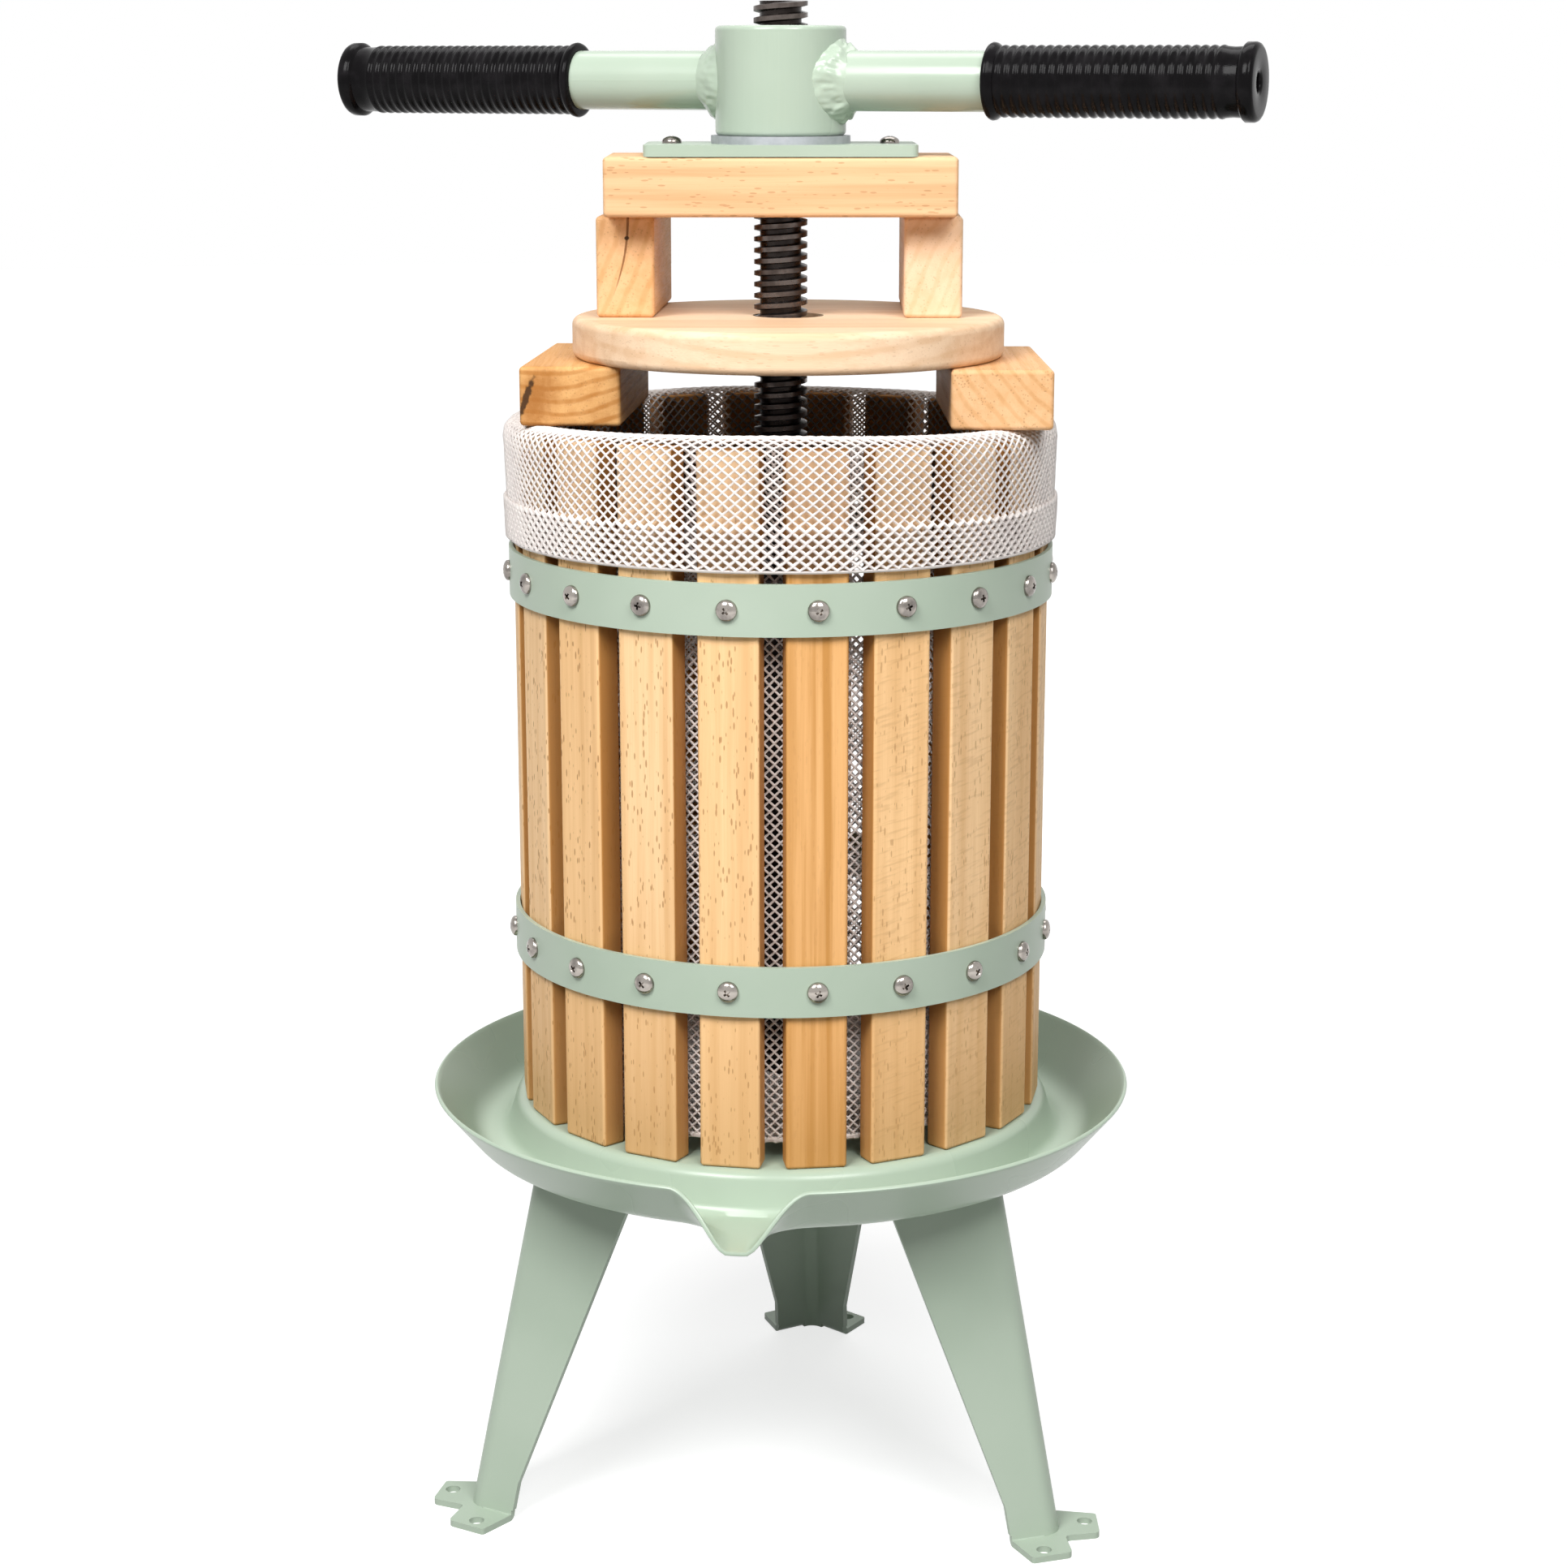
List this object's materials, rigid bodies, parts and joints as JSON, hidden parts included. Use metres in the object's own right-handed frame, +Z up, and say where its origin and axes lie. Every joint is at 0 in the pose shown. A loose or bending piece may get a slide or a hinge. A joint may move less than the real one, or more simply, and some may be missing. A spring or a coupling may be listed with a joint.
{
  "type": "fruit press",
  "caption": "Tripod basket press for fruit: slatted basket with net bag in a spouted juice pan, pressed by a T handle nut on a central screw.",
  "frame": {"origin": "on the press screw's axis at the floor, the centre of the foot bolt circles", "axes": "+Z up along the screw, -Y towards the spout, +Y towards the rear leg"},
  "size_m": [0.4248, 0.3441, 0.6893],
  "materials": {
    "enamel": "pale green satin enamel",
    "beech": "bare planed beech",
    "screw_steel": "dark oiled steel",
    "zinc_steel": "zinc plated",
    "screw_nickel": "bright nickel",
    "washer_grey": "dull grey",
    "grip_rubber": "ribbed, slightly glossy",
    "bag_net": "open white net"
  },
  "bodies": {
    "stand": {"juice_pan": "enamel", "leg_front_left": "enamel", "leg_front_right": "enamel", "leg_rear": "enamel", "leg_bolts": "zinc_steel", "leg_washers": "zinc_steel", "leg_nuts": "zinc_steel", "spindle": "screw_steel", "spindle_flange": "screw_steel", "spindle_washer": "zinc_steel", "spindle_nut": "zinc_steel"},
    "basket": {"slat_01": "beech", "slat_02": "beech", "slat_03": "beech", "slat_04": "beech", "slat_05": "beech", "slat_06": "beech", "slat_07": "beech", "slat_08": "beech", "slat_09": "beech", "slat_10": "beech", "slat_11": "beech", "slat_12": "beech", "slat_13": "beech", "slat_14": "beech", "slat_15": "beech", "slat_16": "beech", "slat_17": "beech", "slat_18": "beech", "slat_19": "beech", "slat_20": "beech", "hoop_upper": "enamel", "hoop_lower": "enamel", "hoop_screws_upper": "screw_nickel", "hoop_screws_lower": "screw_nickel", "press_bag": "bag_net", "lower_block_left": "beech", "lower_block_right": "beech"},
    "pressing_stack": {"pressing_disc": "beech", "upper_block_left": "beech", "upper_block_right": "beech"},
    "lift_collar": {"thrust_washer": "washer_grey"},
    "crosshead": {"cross_beam": "beech", "head_plate": "enamel", "plate_screws": "screw_nickel"},
    "handle": {"handle_hub": "enamel", "handle_tube_left": "enamel", "handle_tube_right": "enamel", "weld_bead_left": "enamel", "weld_bead_right": "enamel", "grip_left": "grip_rubber", "grip_right": "grip_rubber"}
  },
  "joints": [
    {"name": "basket_turn", "type": "hinge", "parent": "stand", "child": "basket", "pos_m": [0, 0, 0.19], "axis": [0, 0, 1], "continuous": true},
    {"name": "disc_turn", "type": "hinge", "parent": "basket", "child": "pressing_stack", "pos_m": [0, 0, 0.534], "axis": [0, 0, 1], "continuous": true},
    {"name": "head_travel", "type": "slide", "parent": "stand", "child": "lift_collar", "axis": [0, 0, 1], "range_m": [0, 0.04376]},
    {"name": "crosshead_swivel", "type": "hinge", "parent": "lift_collar", "child": "crosshead", "pos_m": [0, 0, 0.61], "axis": [0, 0, 1], "continuous": true},
    {"name": "handle_turn", "type": "hinge", "parent": "lift_collar", "child": "handle", "pos_m": [0, 0, 0.655], "axis": [0, 0, 1], "range_deg": [0, 3150]}
  ],
  "couplings": [
    {"joint": "head_travel", "follows": "handle_turn", "m_per_rad": 0.00079577}
  ]
}
